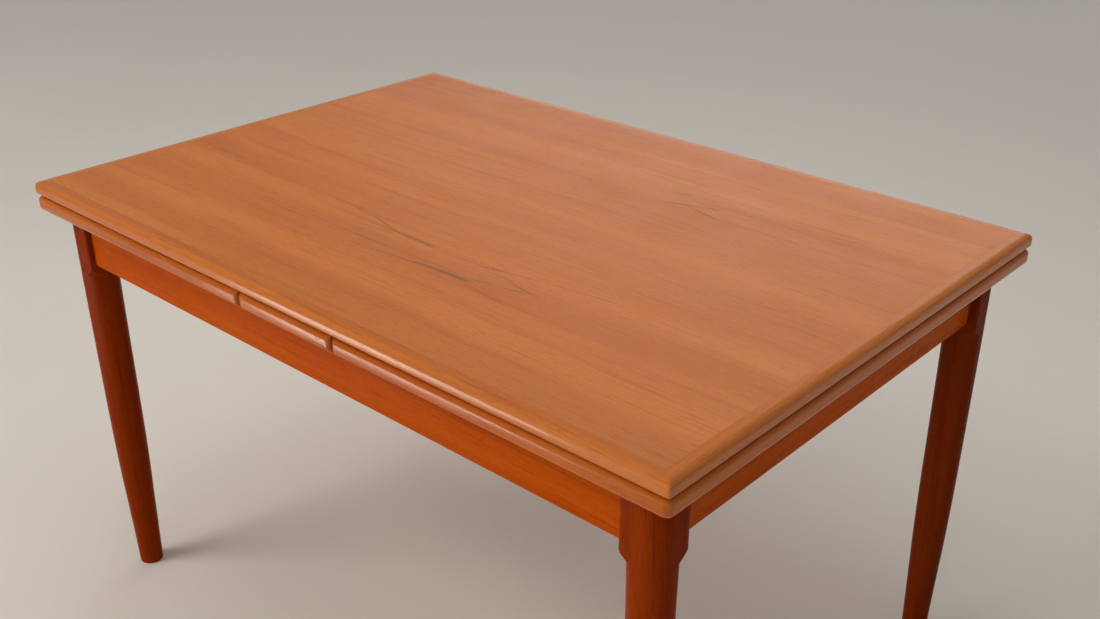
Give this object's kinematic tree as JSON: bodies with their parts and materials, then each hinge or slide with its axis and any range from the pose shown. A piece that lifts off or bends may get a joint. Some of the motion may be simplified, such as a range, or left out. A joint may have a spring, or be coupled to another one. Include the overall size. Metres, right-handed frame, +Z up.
{
  "type": "draw-leaf table",
  "caption": "Rectangular teak dining table with a loose top lying over pull-out end leaves, a fixed centre board, slim aprons and round tapered legs.",
  "frame": {"origin": "centre of the footprint of the closed table, on the floor", "axes": "+X along the table towards the right leaf, +Y across it towards the back, +Z up"},
  "size_m": [1.25, 0.855, 0.73],
  "materials": {
    "teak_veneer": "satin lacquered teak veneer, straight grain along the table",
    "teak_lipping": "satin lacquered solid teak",
    "teak_frame": "satin lacquered solid teak, redder and darker",
    "beech": "bare planed beech",
    "screw_steel": "dull slotted steel screws",
    "felt": "wool felt"
  },
  "bodies": {
    "frame": {"centre_board": "teak_veneer", "centre_board_front_lipping": "teak_lipping", "centre_board_back_lipping": "teak_lipping", "centre_board_left_lipping": "teak_lipping", "centre_board_right_lipping": "teak_lipping", "centre_board_felts": "felt", "centre_board_screws": "screw_steel", "front_left_leg": "teak_frame", "front_right_leg": "teak_frame", "back_left_leg": "teak_frame", "back_right_leg": "teak_frame", "front_apron": "teak_frame", "back_apron": "teak_frame", "left_apron": "teak_frame", "right_apron": "teak_frame", "left_crossrail": "beech", "right_crossrail": "beech", "front_left_corner_block": "beech", "front_right_corner_block": "beech", "back_left_corner_block": "beech", "back_right_corner_block": "beech", "corner_block_screws": "screw_steel"},
    "top": {"top_panel": "teak_veneer", "top_front_lipping": "teak_lipping", "top_back_lipping": "teak_lipping", "top_left_lipping": "teak_lipping", "top_right_lipping": "teak_lipping", "top_pegs": "beech"},
    "left_leaf": {"left_leaf_panel": "teak_veneer", "left_leaf_front_lipping": "teak_lipping", "left_leaf_back_lipping": "teak_lipping", "left_leaf_end_lipping": "teak_lipping", "left_leaf_joint_lipping": "teak_lipping", "left_leaf_front_bearer": "beech", "left_leaf_back_bearer": "beech", "left_leaf_stop_pegs": "beech", "left_leaf_screws": "screw_steel"},
    "right_leaf": {"right_leaf_panel": "teak_veneer", "right_leaf_front_lipping": "teak_lipping", "right_leaf_back_lipping": "teak_lipping", "right_leaf_end_lipping": "teak_lipping", "right_leaf_joint_lipping": "teak_lipping", "right_leaf_front_bearer": "beech", "right_leaf_back_bearer": "beech", "right_leaf_stop_pegs": "beech", "right_leaf_screws": "screw_steel"}
  },
  "joints": [
    {"name": "left_leaf_slide", "type": "slide", "parent": "frame", "child": "left_leaf", "axis": [-1, 0, 0], "range_m": [0, 0.527]},
    {"name": "right_leaf_slide", "type": "slide", "parent": "frame", "child": "right_leaf", "axis": [1, 0, 0], "range_m": [0, 0.527]},
    {"name": "top_lift", "type": "slide", "parent": "frame", "child": "top", "axis": [0, 0, 1], "range_m": [0, 0.028]}
  ]
}
